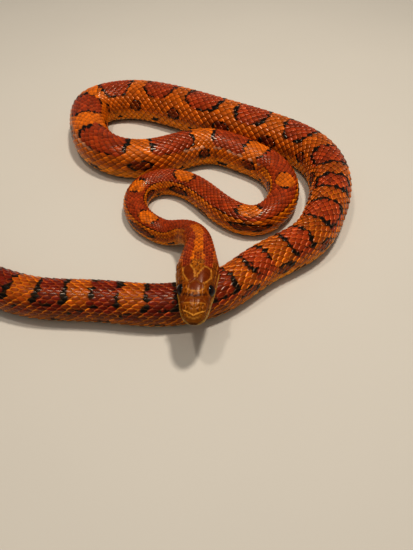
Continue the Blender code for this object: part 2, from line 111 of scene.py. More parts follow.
def runLength(points):
    return np.concatenate([[0], np.cumsum(np.linalg.norm(np.diff(points, axis=0), axis=1))])


def naturalSpline(keys, values):
    keys = np.asarray(keys, float)
    values = np.asarray(values, float).reshape(len(keys), -1)
    step = np.diff(keys)
    count = len(keys)
    matrix = np.eye(count)
    right = np.zeros_like(values)
    for i in range(1, count - 1):
        matrix[i, i - 1:i + 2] = (step[i - 1], 2 * (step[i - 1] + step[i]), step[i])
        right[i] = 6 * ((values[i + 1] - values[i]) / step[i] - (values[i] - values[i - 1]) / step[i - 1])
    bend = np.linalg.solve(matrix, right)

    def at(key):
        key = np.atleast_1d(np.asarray(key, float))
        i = np.clip(np.searchsorted(keys, key, side="right") - 1, 0, count - 2)
        span = step[i]
        after = ((key - keys[i]) / span)[:, None]
        before = 1 - after
        curve = (before ** 3 - before) * bend[i] + (after ** 3 - after) * bend[i + 1]
        return before * values[i] + after * values[i + 1] + curve * (span ** 2)[:, None] / 6

    return at


def ripple(a, b, seed=0.0):
    # a smooth wavering value from -1 to 1, the same on every run
    return (np.sin(a * 1.7 + b * 2.3 + seed) + np.sin(a * 0.73 - b * 3.1 + seed * 1.9 + 1.3)
            + np.sin(a * 2.9 + b * 1.1 + seed * 0.7 + 4.1)) / 3


# the form: every point of the surface by distance from the snout and way round from the back's middle
def layForm():
    points = np.array(snake["route"]) / 1000
    chord = runLength(points)
    dense = naturalSpline(chord, points)(np.linspace(0, chord[-1], 6000))
    distance = runLength(dense)
    length = distance[-1]
    headLength = snake["headLength"] / 1000

    def line(s):
        lift = snake["headLift"] / 1000 * (1 - ramp(s, headLength, snake["liftEnd"] / 1000 - headLength))
        return np.stack([np.interp(s, distance, dense[:, 0]), np.interp(s, distance, dense[:, 1]), lift], 1)

    def directions(s):
        reach = 0.0004
        along = unit(line(np.minimum(s + reach, length)) - line(np.maximum(s - reach, 0)))
        side = unit(np.stack([-along[:, 1], along[:, 0], np.zeros(len(s))], 1))
        return line(s), along, side, np.cross(along, side)

    stations = np.concatenate([np.arange(0, 0.040, 0.0002), np.arange(0.040, length, 0.0006), [length]])
    inHead = stations < headLength
    base, along, side, up = directions(stations)
    nape, napeAlong, napeSide, napeUp = directions(np.array([headLength]))
    base[inHead] = nape - napeAlong * (headLength - stations[inHead])[:, None]
    along[inHead], side[inHead], up[inHead] = napeAlong, napeSide, napeUp

    heads, girths = np.array(snake["head"]) / ([1000] * 4 + [1, 1]), np.array(snake["girth"]) / 1000
    headSize = naturalSpline(heads[:, 0], heads[:, 1:])(stations).T
    width, height = naturalSpline(girths[:, 0], girths[:, 1:])(stations).T
    bodySize = (width / 2, height, 0.0, snake["roundness"], 0.0)
    half, top, low, power, lean = (np.where(inHead, one, two) for one, two in zip(headSize, bodySize))
    share = ramp(stations, 0, headLength)
    flat = snake["chinFlat"] + (snake["bellyFlat"] - snake["chinFlat"]) * share
    level = snake["lipLevel"] + (snake["widest"] - snake["lipLevel"]) * share
    # the tail's last millimetres close to a point
    close = np.maximum(np.sqrt(np.clip((length - stations) * 1000 / snake["tailTaper"], 0.0, 1.0)), 0.06)
    middle = top * 0.45 * (1 - close)
    half, top, low = half * close, middle + top * close, low + middle

    # half a section: the upper quarter, the lower quarter and the flat underneath
    size = top
    half, top, low, power, lean, flat, level = (v[:, None] for v in (half, top, low, power, lean, flat, level))
    quarter = np.linspace(math.pi / 2, 0, 40)[None]
    rise = np.sin(quarter) ** (2 / power)
    out = half * np.abs(np.cos(quarter)) ** (2 / power) * (1 - lean * rise)
    upper = np.stack([out, low + (top - low) * (level + (1 - level) * rise)], 2)
    lower = np.stack([half * (flat + (1 - flat) * np.sin(quarter)),
                      low + (top - low) * level * (1 - np.cos(quarter))], 2)
    floorShare = np.linspace(1, 0, 12)[None, 1:]
    under = np.stack([half * flat * floorShare, np.repeat(low, 11, axis=1)], 2)
    evened, halfRound = [], []
    for section in np.concatenate([upper, lower[:, 1:], under], 1):
        way = runLength(section)
        even = np.linspace(0, 1, snake["halfGrid"] + 1) * way[-1]
        evened.append(np.stack([np.interp(even, way, section[:, 0]), np.interp(even, way, section[:, 1])], 1))
        halfRound.append(way[-1])
    evened = np.array(evened)
    # the whole ring, from the belly's middle over the back and down again
    ring = np.concatenate([evened[:, :0:-1] * (-1, 1), evened], 1)
    place = base[:, None] + side[:, None] * ring[:, :, :1] + up[:, None] * ring[:, :, 1:]
    around = np.gradient(place, axis=1)
    around[:, 0] = around[:, -1] = place[:, 1] - place[:, -2]
    normal = unit(np.cross(np.gradient(place, axis=0), around))
    outward = np.sum(normal * (place - place.mean(axis=1, keepdims=True)), axis=2).mean()
    return {"length": length, "stations": stations, "halfRound": np.array(halfRound), "place": place,
            "normal": normal * math.copysign(1.0, outward), "evened": evened, "base": base, "along": along,
            "side": side, "up": up, "top": size}


form = layForm()


def halfRoundAt(s):
    return np.interp(s, form["stations"], form["halfRound"])


def onForm(s, way, height):
    # points over the solid's surface: s from the snout, way round from the back's middle, height over it
    s = np.clip(s, 0.0, form["length"])
    row = np.interp(s, form["stations"], np.arange(len(form["stations"])))
    column = (np.clip(way / halfRoundAt(s), -1.0, 1.0) + 1) * snake["halfGrid"]
    r = np.minimum(row.astype(int), len(form["stations"]) - 2)
    c = np.minimum(column.astype(int), 2 * snake["halfGrid"] - 1)
    fr, fc = (row - r)[:, None], (column - c)[:, None]
    spots = []
    for table in (form["place"], form["normal"]):
        near = table[r, c] * (1 - fc) + table[r, c + 1] * fc
        far = table[r + 1, c] * (1 - fc) + table[r + 1, c + 1] * fc
        spots.append(near * (1 - fr) + far * fr)
    return spots[0] + unit(spots[1]) * np.asarray(height)[:, None]


print("form laid, length", round(form["length"], 4))

# markings, in millimetres from the snout along the back
markings = {
    "saddles": [(50, 79.5), (90, 105.5), (116.5, 135), (147, 179.5), (191.5, 212.5), (223.5, 243.5), (256, 278),
                (291, 316.5), (328, 360), (374.5, 395.5), (406, 427), (437.5, 458.5), (468.5, 492.5),
                (502.5, 523.5), (535, 552.5), (564, 579), (588, 599), (608.5, 623.5), (634, 646), (657, 668.5),
                (677.5, 691.5), (701.5, 715), (725, 737.5), (747.5, 760.5), (771.5, 783.5)],
    "shift": 1.8,                  # towards the head, and longer at each end, in mm
    "grow": 0.35,
    "unseenCycle": (21.0, 9.5),    # saddle to saddle past the picture's edge, at its start and at the tail's tip
    # distance in mm, how far down a saddle reaches, how square its corners are
    "saddleForm": [(0, 0.37, 4.5), (205, 0.39, 4.5), (260, 0.44, 4.5), (390, 0.42, 3.6), (430, 0.37, 2.9),
                   (530, 0.38, 2.9), (575, 0.48, 4.2), (650, 0.54, 4.8)],
    "unseenShare": 0.56,           # of a cycle that is saddle
    "ventralEdge": 0.725,          # share of the half round at which the belly scutes start
    "neckEnd": 48.5,               # where the nape's pattern gives way to the saddles, in mm
    # where each change along the body starts and how long it takes, in mm
    "zones": {"foreEnd": (205, 60), "dull": (390, 60), "duller": (530, 40), "late": (520, 40), "hind": (655, 45)},
    # down the side, from the back's middle (0) to the belly scutes (1)
    "patchReach": 0.29,            # the forebody's orange patches
    "borderReach": 0.44,           # the saddles' black edges
    "stripe": (0.015, 0.21, 0.12),     # under the forebody's saddles: start, end and the dark line in it
    "blotch": (4.6, 0.115, 0.595),     # half length in mm, half height and level
    "dash": (3.4, 0.045, 0.85),
    "highlightStreaks": [(340, 388), (236, 296)],    # painted highlight streaks along the body: start and end in mm
    "highlightStreakLevel": 0.45,
    "check": (7.5, 0.12, 1.2),     # on the belly: length in mm, half height and level
    "colours": {
        "saddle": "#9E380B", "saddleDeep": "#6A1C04", "saddleWarm": "#A0440E", "saddleHind": "#601003",
        "border": "#0B0503", "orange": "#C66006", "orangeDeep": "#A24804", "orangeHind": "#903C04",
        "flank": "#BE5C06", "flankRed": "#923804", "flankHind": "#702804",
        "stripe": "#C86E08", "blotch": "#5E1804", "ochre": "#EC8C06", "ochreHind": "#8C4C06",
        # skin is the dark of the gaps between the scales, a painted shade
        "cream": "#DDBE84", "pale": "#D4702E", "paleOrange": "#EC9420", "skin": "#260802",
        "streakHighlight": "#D0B094", "bellyDark": "#2A2422"},
}


def saddleEnds():
    found = [(one - markings["shift"] - markings["grow"], two - markings["shift"] + markings["grow"])
             for one, two in markings["saddles"]]
    first, last = markings["unseenCycle"]
    tail = form["length"] * 1000
    start = end = found[-1][1]
    while end < tail:
        cycle = first + (last - first) * (end - start) / (tail - start)
        found.append((end + cycle * (1 - markings["unseenShare"]), end + cycle))
        end += cycle
    return np.array(found)


saddles = saddleEnds()
tone = {name: linear(value) for name, value in markings["colours"].items()}


def blend(one, two, share):
    share = np.asarray(share)[:, None]
    return one * (1 - share) + two * share


def plain(name, like):
    return np.repeat(tone[name][None], len(like), 0)


def over(colour, *layers):
    # lay named tones over a colour in turn, each by a share from 0 to 1
    for name, share in layers:
        colour = blend(colour, tone[name][None], np.clip(share * np.ones(len(colour)), 0.0, 1.0))
    return colour


def markBody(mm, v, side, chance):
    # colour of the body: mm from the snout, v from the back's middle (0) to the belly scutes (1)
    zone = {name: ramp(mm, *place) for name, place in markings["zones"].items()}
    fore, late, hind = 1 - zone["foreEnd"], zone["late"], zone["hind"]
    dusk = zone["dull"] * 0.5 + zone["duller"] * 0.4              # the orange dulls towards the tail
    wander = ripple(mm * 0.35, v * 5, side * 2.0)

    def nearest(spans):
        # way from the middle of the nearest span, and half of its length
        middles, halves = spans.mean(axis=1), (spans[:, 1] - spans[:, 0]) / 2
        at = np.argmin(np.abs(mm[:, None] - middles[None]), axis=1)
        return mm + wander - middles[at], halves[at]

    # orange patches cut into a red back on the forebody, and saddles laid on orange behind it
    patchOff, patchHalf = nearest(np.stack([saddles[:-1, 1], saddles[1:, 0]], 1))
    patch = patchHalf * np.clip(1 - np.minimum(v / markings["patchReach"], 1) ** 3.0, 0, 1) ** 0.5
    patch = patch - np.abs(patchOff) - 1.1 * (chance - 0.5)
    saddleOff, saddleHalf = nearest(saddles)
    reach, square = read(markings["saddleForm"], mm)
    reach = reach + 0.02 * ripple(mm * 0.6, v, side)
    blob = 1 - ((np.abs(saddleOff) / saddleHalf) ** square + (v / reach) ** square) ** (1 / square)
    inside = patch * fore - blob * np.minimum(saddleHalf, 9.0) * (1 - fore)     # over 0 outside the saddles
    back = v < np.where(fore > 0.5, reach, 0.60)
    # the flank, from under the saddles down to the belly scutes
    low = ramp(v, 0.66, 0.16)
    colour = over(plain("flank", mm), ("flankRed", 0.40 * fore + 0.30 * (chance < 0.3)), ("orangeDeep", 0.7 * dusk),
                  ("flankHind", hind * (1 - 0.6 * ramp(v, 0.62, 0.22))), ("ochre", low * 0.9 * (1 - hind)),
                  ("ochreHind", low * 0.7 * hind), ("cream", 0.75 * ramp(v, 0.94, 0.05)))
    saddle = over(plain("saddle", mm), ("saddleDeep", 0.35 + 0.25 * ripple(mm * 0.9, v * 9, 3.0)),
                  ("saddleWarm", 0.25 * (chance > 0.8)), ("saddleHind", hind * 0.9))
    orange = over(plain("orange", mm), ("orangeDeep", ramp(v, 0.20, 0.34) * 0.6 + 0.35 * (chance < 0.22)),
                  ("orangeHind", dusk))
    orange = blend(orange, colour, ramp(v, 0.25 + 0.06 * hind, 0.26 - 0.10 * hind))
    colour = np.where((back & (inside > 0))[:, None], orange, colour)
    colour = np.where((back & (inside <= 0))[:, None], saddle, colour)
    # black edges of the saddles, ragged along the scales and broken below
    ragged = 1.35 + 0.40 * late + 0.25 * hind - 0.35 * fore + 0.6 * ripple(mm * 2.1, v * 17, side + 5)
    ragged = ragged * (1 - 0.45 * ramp(v, 0.22, 0.1) * (1 - late))
    gaps = 0.06 + 0.34 * (v > 0.30 + 0.09 * late) + 0.45 * fore * (v > 0.17)
    edge = (inside <= 0.10) & (inside > -ragged) & (v < markings["borderReach"])
    # the stripe of the forebody, under a dark line
    below = v - reach
    start, end, seam = markings["stripe"]
    stripe = (below > start) & (below < end) & (fore > 0.2) & (np.abs(below - seam) > 0.02)
    colour = over(colour, ("border", edge & (chance > gaps)),
                  ("border", ((np.abs(below) < 0.020) & (fore > 0.4) & (chance > 0.25)) * 0.85),
                  ("stripe", stripe * ramp(fore, 0.2, 0.4) * (0.30 + 0.45 * (chance > 0.25))))
    # blotches on the flank, below the orange patches, in a broken black ring
    halfLong, halfHigh, level = markings["blotch"]
    spot = np.hypot((patchOff - 0.2 * wander) / (halfLong + 2.2 * fore - 1.4 * hind),
                    (v - level - 0.03 * fore) / (halfHigh - 0.030 * hind))
    spot = spot + 0.10 * ripple(mm * 1.7, v * 21, side + 2)
    ring = (np.abs(spot - 1.0) < 0.17) & (chance > 0.28 - 0.2 * fore + 0.30 * hind)
    # dashes low on the flank, below the saddles
    halfLong, halfHigh, level = markings["dash"]
    off = np.min(np.abs((mm - 1.5 * side)[:, None] - saddles.mean(axis=1)[None]), axis=1)
    dash = (off + 1.2 * ripple(mm, v * 3, side * 4) < halfLong) & (np.abs(v - level) < halfHigh)
    # painted highlight: pale streaks along the scale rows on the side towards the room, standing in for the light's
    # long reflection
    whole, broken = (ramp(mm, start, 8) * (1 - ramp(mm, end, 8)) for start, end in markings["highlightStreaks"])
    paintedHighlight = np.exp(-((v - markings["highlightStreakLevel"] - 0.02 * ripple(mm * 0.5, v, 1)) / 0.022) ** 2) * (side > 0)
    return over(colour, ("blotch", (spot < 1.0) * (0.85 - 0.25 * (chance > 0.7))), ("border", ring),
                ("border", dash & (chance > 0.25)), ("streakHighlight", 0.45 * paintedHighlight * (whole + broken * (chance > 0.30))))


def markNeck(mm, way, chance):
    # colour of the nape: an orange stripe between two dark arms, and a dark lens just behind the head
    out = np.abs(way) * 1000
    waver = 0.45 * ripple(mm * 0.55, way * 600, 1.0)
    arm = (out + waver > 2.0 + 0.7 * ramp(34 - mm, 0, 8)) & (out + waver < 6.9)
    lens = (out < 1.45 + 0.3 * waver) & (mm < 30)
    return over(plain("orange", mm), ("orangeDeep", 0.30 + 0.1 * (chance < 0.3)),
                ("saddleWarm", ramp(out, 6.2, 1.2) * 0.9), ("saddle", arm),
                ("saddleDeep", arm * (0.40 + 0.25 * (chance > 0.6))), ("saddleDeep", lens * 0.75),
                ("ochre", ramp(out, 10.0, 2.5)))


def markAll(s, way, chance):
    mm = s * 1000
    v = np.abs(way) / (halfRoundAt(s) * markings["ventralEdge"])
    onNeck = mm + 1.25 * ripple(way * 900, mm, 2) < markings["neckEnd"]
    body = markBody(mm, np.clip(v, 0, 1.3), np.where(way >= 0, 1.0, -1.0), chance)
    colour = np.where(onNeck[:, None], markNeck(mm, way, chance), body)
    long, halfHigh, level = markings["check"]
    checks = (np.floor(mm / long + 0.4 * np.sign(way)) % 2 == 0) & (np.abs(v - level) < halfHigh) & (mm > 60)
    return np.where((v > 1.0)[:, None], over(plain("cream", mm), ("bellyDark", checks)), colour)


# mesh and material helpers
def dress(data, colours, material, uvs=None):
    # a mesh's markings by point, its unwrap for the bake, its material and smooth shading
    store = data.attributes.new("marking", "FLOAT_COLOR", "POINT")
    rgba = np.concatenate([colours, np.ones((len(colours), 1))], 1)
    store.data.foreach_set("color", rgba.astype(np.float32).ravel())
    if uvs is not None:
        for old in list(data.uv_layers):
            data.uv_layers.remove(old)
        layer = data.uv_layers.new(name="OFBake")
        corners = np.zeros(len(data.loops), int)
        data.loops.foreach_get("vertex_index", corners)
        layer.data.foreach_set("uv", uvs[corners].astype(np.float32).ravel())
    data.materials.clear()
    data.materials.append(material)
    data.shade_smooth()


def addItem(name, data):
    item = bpy.data.objects.new(name, data)
    bpy.context.scene.collection.objects.link(item)
    return item


def addMesh(name, points, faces, colours, uvs, material):
    data = bpy.data.meshes.new(name)
    data.from_pydata(points.tolist(), [], [list(map(int, face)) for face in faces])
    dress(data, colours, material, uvs)
    return addItem(name, data)


def deselectAll():
    for item in list(bpy.context.selected_objects):
        item.select_set(False)


def addSphere(name, segments, rings, radius):
    deselectAll()
    bpy.ops.mesh.primitive_uv_sphere_add(segments=segments, ring_count=rings, radius=radius, location=(0, 0, 0))
    item = bpy.context.object
    item.name = name
    points = np.zeros(len(item.data.vertices) * 3)
    item.data.vertices.foreach_get("co", points)
    return item, points.reshape(-1, 3)


def band(near, far, count):
    # quads between two closed rings of points
    return [(near + i, near + (i + 1) % count, far + (i + 1) % count, far + i) for i in range(count)]


def repeatFaces(faces, points, times):
    return [[k * points + v for v in face] for k in range(times) for face in faces]


unwrap = {"strips": 4, "scale": 3.0, "edge": 0.02, "patch": 0.003}


def unwrapAt(s, way):
    # the skin cut into four strips that lie side by side
    stripLength = form["length"] / unwrap["strips"]
    strip = np.minimum((s / stripLength).astype(int), unwrap["strips"] - 1)
    across = unwrap["edge"] + (s - strip * stripLength) * unwrap["scale"]
    return np.stack([across, (strip + 0.5) / unwrap["strips"] + way * unwrap["scale"]], 1)


def addNode(tree, kind, settings=None, links=None):
    node = tree.nodes.new(kind)
    for key, value in (settings or {}).items():
        if isinstance(key, str) and hasattr(node, key):
            setattr(node, key, value)
        else:
            node.inputs[key].default_value = value
    for key, source in (links or {}).items():
        tree.links.new(source, node.inputs[key])
    return node


def newMaterial(name):
    made = bpy.data.materials.new(name)
    made.use_nodes = True
    made.node_tree.nodes.clear()
    return made, made.node_tree


def keratinMaterial(name, roughness, gleam, grain, bump, mottle):
    # keratin over pigment: satin, a soft gloss on each scale. The real one's grain is far finer than a tenth
    # of a millimetre, and it is drawn at the given size, in metres, so that it shows
    made, tree = newMaterial(name)
    where = addNode(tree, "ShaderNodeTexCoord").outputs["Object"]
    pigment = addNode(tree, "ShaderNodeAttribute", {"attribute_name": "marking"}).outputs["Color"]
    cloud, fine = (addNode(tree, "ShaderNodeTexNoise", {"Scale": 1 / size, "Detail": detail, "Roughness": rough},
                           {"Vector": where}).outputs["Fac"]
                   for size, detail, rough in ((0.0016, 4.0, 0.6), (grain, 3.0, 0.7)))
    shade, gloss = (addNode(tree, "ShaderNodeMapRange", {"From Min": 0.5 - half, "From Max": 0.5 + half,
                                                         "To Min": low, "To Max": high}, {"Value": source})
                    for source, half, low, high in ((cloud, 0.25, 1 - mottle, 1 + mottle),
                                                    (fine, 0.2, roughness - 0.07, roughness + 0.09)))
    bright = addNode(tree, "ShaderNodeVectorMath", {"operation": "SCALE"},
                     {0: pigment, "Scale": shade.outputs["Result"]})
    relief = addNode(tree, "ShaderNodeBump", {"Strength": bump, "Distance": 0.00006}, {"Height": fine})
    shader = addNode(tree, "ShaderNodeBsdfPrincipled",
                     {"IOR": 1.54, "Specular IOR Level": gleam, "Specular Tint": (1.0, 0.80, 0.62, 1.0)},
                     {"Base Color": bright.outputs["Vector"], "Roughness": gloss.outputs["Result"],
                      "Normal": relief.outputs["Normal"]})
    addNode(tree, "ShaderNodeOutputMaterial", None, {"Surface": shader.outputs["BSDF"]})
    return made


scaleKeratin = keratinMaterial("keratin of the body scales", 0.23, 0.25, 0.00035, 0.30, 0.18)
shieldKeratin = keratinMaterial("smooth keratin of the head shields", 0.24, 0.10, 0.0004, 0.40, 0.24)
scuteKeratin = keratinMaterial("smooth keratin of the belly scutes", 0.32, 0.22, 0.0005, 0.25, 0.10)
skinLeather = keratinMaterial("soft skin between the scales", 0.60, 0.15, 0.0003, 0.5, 0.15)

# the continuous skin under everything
skin = {"columns": 96, "depth": 0.00034, "depthShare": 0.030,        # under the solid's surface, for the coat
        "snoutRings": 5, "bulge": 0.0004, "headEnd": 0.027,
        "dark": 0.85, "headShade": 0.80, "noseShade": 0.55}          # painted shade: how much the skin darkens in the gaps between scales, under the head's shields and round the snout's tip


def coatDepth(s):
    size = np.interp(s, form["stations"], form["top"])
    body = np.minimum(skin["depth"], skin["depthShare"] * size)
    return body * ramp(s, 0.020, 0.008)


def makeSkin():
    length, columns = form["length"], skin["columns"]
    stops = np.concatenate([np.arange(0.0, 0.040, 0.0004), np.arange(0.040, 0.100, 0.0012),
                            np.arange(0.100, length - 0.012, 0.0020), np.linspace(length - 0.012, length, 14)])
    s = np.repeat(stops, columns)
    way = np.tile(-1 + 2 * np.arange(columns) / columns, len(stops)) * halfRoundAt(s)
    points = onForm(s, way, -coatDepth(s))
    # painted shade: the skin showing in the gaps between scales is darkened towards the dark skin tone
    colours = over(markAll(s, way, np.full(len(s), 0.5)), ("skin", skin["dark"]))
    colours = np.where((s < skin["headEnd"])[:, None], markHead(s, way) * skin["headShade"], colours)
    uvs = unwrapAt(s, way)
    # the snout is rounded off in front of the first ring, and the tail ends in a point
    first, last = points[:columns], points[-columns:]
    centre, bulge = first.mean(axis=0), -form["along"][0] * skin["bulge"]
    turns = math.pi / 2 * np.arange(1, skin["snoutRings"] + 1) / (skin["snoutRings"] + 1)
    rings = [centre + (first - centre) * math.cos(turn) + bulge * math.sin(turn) for turn in turns]
    ends = [centre + bulge, last.mean(axis=0) + form["along"][-1] * skin["bulge"]]
    total = len(points)
    points = np.concatenate([points] + rings + [ends])
    nose = markHead(np.zeros(1), np.zeros(1)) * skin["noseShade"]
    colours = np.concatenate([colours, np.repeat(nose, len(turns) * columns + 1, 0), colours[-1:]])
    uvs = np.concatenate([uvs, np.tile(uvs[:columns], (len(turns), 1)), uvs[[columns // 2, -columns // 2]]])
    faces = []
    for start in range(0, total - columns, columns):
        faces += band(start, start + columns, columns)
    inner = 0
    for ring in range(total, total + len(turns) * columns, columns):
        faces += band(ring, inner, columns)
        inner = ring
    outer = total - columns
    for i in range(columns):
        j = (i + 1) % columns
        faces += [(len(points) - 2, inner + i, inner + j), (len(points) - 1, outer + j, outer + i)]
    return addMesh("continuousSkin", points, faces, colours, uvs, skinLeather)


# head shields
shields = {
    "rise": 0.00019, "seam": 0.00005, "paleEdgeHighlight": 0.75, "root": 0.00020, "step": 0.00027, "dome": 0.00010,
    "lip": 0.00004, "rimCurve": ((0.00007, 0.55), (0.00018, 0.88))}
outlines = {
    # corners in mm, as distance from the snout and distance from the middle, seen from above
    "top": {
        "internasal": [(1.2, 0), (4, 0), (5.4, 2.2), (4.7, 3.2), (2.2, 2.5)],
        "prefrontal": [(4, 0), (8, 0), (8.6, 2.6), (7.6, 4.3),
                       (6, 3.8), (5.4, 2.2)],
        "supraocular": [(8.6, 2.6), (14, 2.2), (15.8, 3.4), (16, 5.2),
                        (10.6, 5.1), (7.8, 4.3)],
        "parietal": [(15.8, 0), (14, 2.2), (16.2, 4.8), (20.2, 5.8),
                     (23.2, 4), (24, 1.6), (22.4, 0)]},
    "frontal": [(8, 0), (8.6, 2.6), (14, 2.2), (15.8, 0),
                (14, -2.2), (8.6, -2.6)],
    # as distance from the snout and height over the head's base, seen from the side
    "flank": {
        "nasalFront": [(1.2, 5.2), (1.6, 7.2), (2.8, 7.7), (3, 5.5)],
        "nasalRear": [(3, 5.5), (2.8, 7.7), (4, 8), (4.6, 5.8)],
        "loreal": [(4.6, 5.8), (4, 8), (7.6, 8.7), (8.2, 6.4)],
        "preocular": [(8.2, 6.4), (7.6, 8.8), (10.6, 9.8), (11.2, 6.8)],
        "postocularUpper": [(16.6, 7.8), (16.4, 10.1), (18.8, 10), (19.2, 7.7)],
        "postocularLower": [(16.2, 5.8), (16.6, 7.7), (19.2, 7.6), (19, 6)],
        "temporalFrontUpper": [(19.2, 8), (18.8, 10.2), (22.6, 10.3), (23, 8.2)],
        "temporalFrontLower": [(19, 6), (19.2, 7.9), (23, 8.1), (23.4, 6.1)],
        "temporalRearUpper": [(23.1, 8.3), (22.7, 10.2), (25.6, 10.4), (26.2, 8.4)],
        "temporalRearLower": [(23.5, 6.1), (23.1, 8.2), (26.2, 8.3), (26.8, 6.2)]},
    "upperLip": [1.6, 4, 6.2, 8.6, 11.2, 14, 17, 20.3, 23.8],
    "upperDepth": 2.3,
    "lowerLip": [2.2, 4, 6, 8.2, 10.6, 13.2, 15.8, 18.6, 21.4, 24],
    "lowerDepth": 1.7,
    "lipRoom": 0.12,
    "chin": [[(4, 0), (4.2, 2.2), (9.8, 3.4), (10.4, 0)],
             [(10.4, 0), (10, 3.4), (14.8, 3), (15.6, 0)]],
}
eye = {"back": 0.0138, "out": 0.0050, "rise": 0.0070, "radius": 0.0025, "opening": 0.00215, "room": 0.0034,
       "pupil": "#040302", "iris": "#2A1208", "irisRing": (22, 46)}     # degrees off the eye's middle

headColours = {
    "ground": "#7E3E05", "bright": "#8E4C06", "deep": "#682A06", "frontal": "#662806", "bar": "#6E3006",
    "snout": "#804606", "lip": "#C4963E", "lipEdge": "#D4A65C", "throat": "#E6D2A4",
    # line: pale lines round the spear's patches; on the snout's V and the shields' edges partly painted highlight
    "postocular": "#762205", "arm": "#762005", "speckle": "#3C1205", "line": "#E8A040"}
tone.update({name: linear(value) for name, value in headColours.items()})


def mouthRise(back):
    keys, rises = np.array(snake["mouth"]).T / 1000
    return naturalSpline(keys, rises)(back)[:, 0]


def headHalf(back):
    row = int(round(float(np.interp(back, form["stations"], np.arange(len(form["stations"]))))))
    half = form["evened"][row]
    return half, np.linspace(0, 1, len(half)) * form["halfRound"][row]


def wayAcross(back, across):
    half, way = headHalf(back)
    widest = int(np.argmax(half[:, 0]))
    return math.copysign(float(np.interp(abs(across), half[:widest, 0], way[:widest])), across)


def wayRise(back, rise):
    half, way = headHalf(back)
    return float(np.interp(-rise, -half[:, 1], way))


def wayUnder(back, across):
    half, way = headHalf(back)
    widest = int(np.argmax(half[:, 0]))
    return float(np.interp(-across, -half[widest:, 0], way[widest:]))


def eyeHub(side):
    return np.array([eye["back"], side * wayRise(eye["back"], eye["rise"])])


def turnOf(corners):
    # over 0 where the corners of a patch run one way round, under 0 the other
    x, y = corners.T
    return float(np.sum(x * np.roll(y, -1) - np.roll(x, -1) * y))


def oval(back, out, halfBack, halfOut):
    # over 0 inside an oval on the head's surface, in millimetres
    return (1 - np.hypot(back / halfBack, out / halfOut)) * min(halfBack, halfOut)


def facet(back, out, corners):
    # over 0 inside a patch with straight sides, its corners in turn, in millimetres
    corners = np.array(corners)
    turn = np.sign(turnOf(corners))
    gaps = [turn * (way[0] * (out - one[1]) - way[1] * (back - one[0])) / np.hypot(*way)
            for one, way in zip(corners, np.roll(corners, -1, axis=0) - corners)]
    return np.min(gaps, axis=0)


def paint(colour, name, field, soft=0.22, amount=1.0):
    # a tone where the field is over 0, with an edge as wide as twice the softness
    return over(colour, (name, ramp(field, -soft, 2 * soft) * amount))


# corners of the head's dark patches: distance from the snout and way out from the middle, in mm
spear = {
    "rightPatch": [(21.9, 5.2), (23.3, 3.4), (19.9, 1.3), (15.9, 0.9), (15.9, 2.9), (19.2, 4.9)],
    "leftPatch": [(17.9, 0.8), (21.9, 3.2), (21.2, 5.3), (18.2, 5.7), (14.9, 3.1), (16.0, 0.8)],
    "frontPatch": [(16.9, 0.4), (15.2, 2.9), (12.6, 2.9), (11.5, 1.6), (11.3, 0.0), (13.0, -3.0), (16.9, -0.4)]}
# bright ovals on the middle line: distance from the snout, half length, half width, edge and amount
ovals = [(10.9, 1.5, 5.0, 1.0, 0.9), (6.0, 1.2, 3.6, 0.8, 0.8), (23.0, 3.2, 2.6, 1.0, 0.9)]
# bright lines in a V towards the snout's tip, partly pale seams and partly painted highlight on the shields' edges:
# distance, slope, how far out and amount
snoutLines = [(1.7, 0.58, 5.0, 0.80), (0.7, 0.35, 2.6, 0.5), (5.9, 0.22, 4.4, 0.35)]


def markHead(s, way):
    # colour of the head's shields and of the skin and scales next to them
    back = s * 1000
    out = np.abs(way) * 1000
    onRight = way > 0
    share = out / (halfRoundAt(s) * 1000)
    waver = 0.36 * ripple(back * 1.9, way * 2100, 1.0)
    freckle = 0.5 + 0.5 * ripple(back * 1.25, out * 1.5 + 3.0 * onRight, 2.0)
    colour = plain("ground", back)
    for middle, halfBack, halfOut, soft, amount in ovals:
        colour = paint(colour, "bright", oval(back - middle, out, halfBack, halfOut) + waver, soft, amount)
    colour = paint(colour, "snout", 4.9 - back + waver, 0.9, 0.9)
    colour = paint(colour, "speckle", np.minimum(freckle - 0.66, back - 2.5), 0.10, 0.70)
    # the spear: two dark patches on the parietals and one on the frontal, with bright rims
    sides = [facet(back, out + 0.25 * waver, spear[name]) + 0.5 * waver for name in ("rightPatch", "leftPatch")]
    patch = np.where(onRight, *sides)
    colour = paint(colour, "line", 0.26 - np.abs(patch + 0.42), 0.25, 0.38)
    colour = paint(colour, "deep", patch)
    front = facet(back, out, spear["frontPatch"]) + 0.5 * waver
    colour = paint(colour, "line", np.minimum(0.24 - np.abs(front + 0.40), 13.4 - back), 0.25, 0.30)
    colour = paint(colour, "frontal", front)
    colour = paint(colour, "arm", np.minimum(1.9 - np.abs(out - 4.6), back - 22.6) + waver, 0.22, 0.9)
    # the bar between the eyes with a dark line behind it, and the stripe behind each eye
    colour = paint(colour, "bar", np.minimum(1.25 - np.abs(back - 7.6 - 0.16 * out), 6.0 - out) + 0.6 * waver)
    seam = 0.42 - np.abs(back - 8.9 - 0.30 * out + waver)
    colour = paint(colour, "speckle", np.minimum(seam, 4.9 - out), 0.2, 0.9)
    colour = paint(colour, "postocular", np.minimum((0.060 - np.abs(share - 0.47)) * 24, back - 14.8) + waver)
    # bright lines in a V on the snout: partly pale seams, partly painted highlight
    for reach, slope, end, amount in snoutLines:
        bright = 0.17 - np.abs(back - reach - slope * out + 0.3 * waver)
        colour = paint(colour, "line", np.minimum(bright, end - out), 0.2, amount)
    lips = (share - 0.515) * 24
    colour = paint(colour, "lip", lips + waver + 0.8, 1.2, 0.9)
    colour = paint(colour, "lipEdge", 0.35 - np.abs(lips - 2.4), 0.4, 0.5)
    return paint(colour, "throat", (share - 0.72) * 24, 2.0)


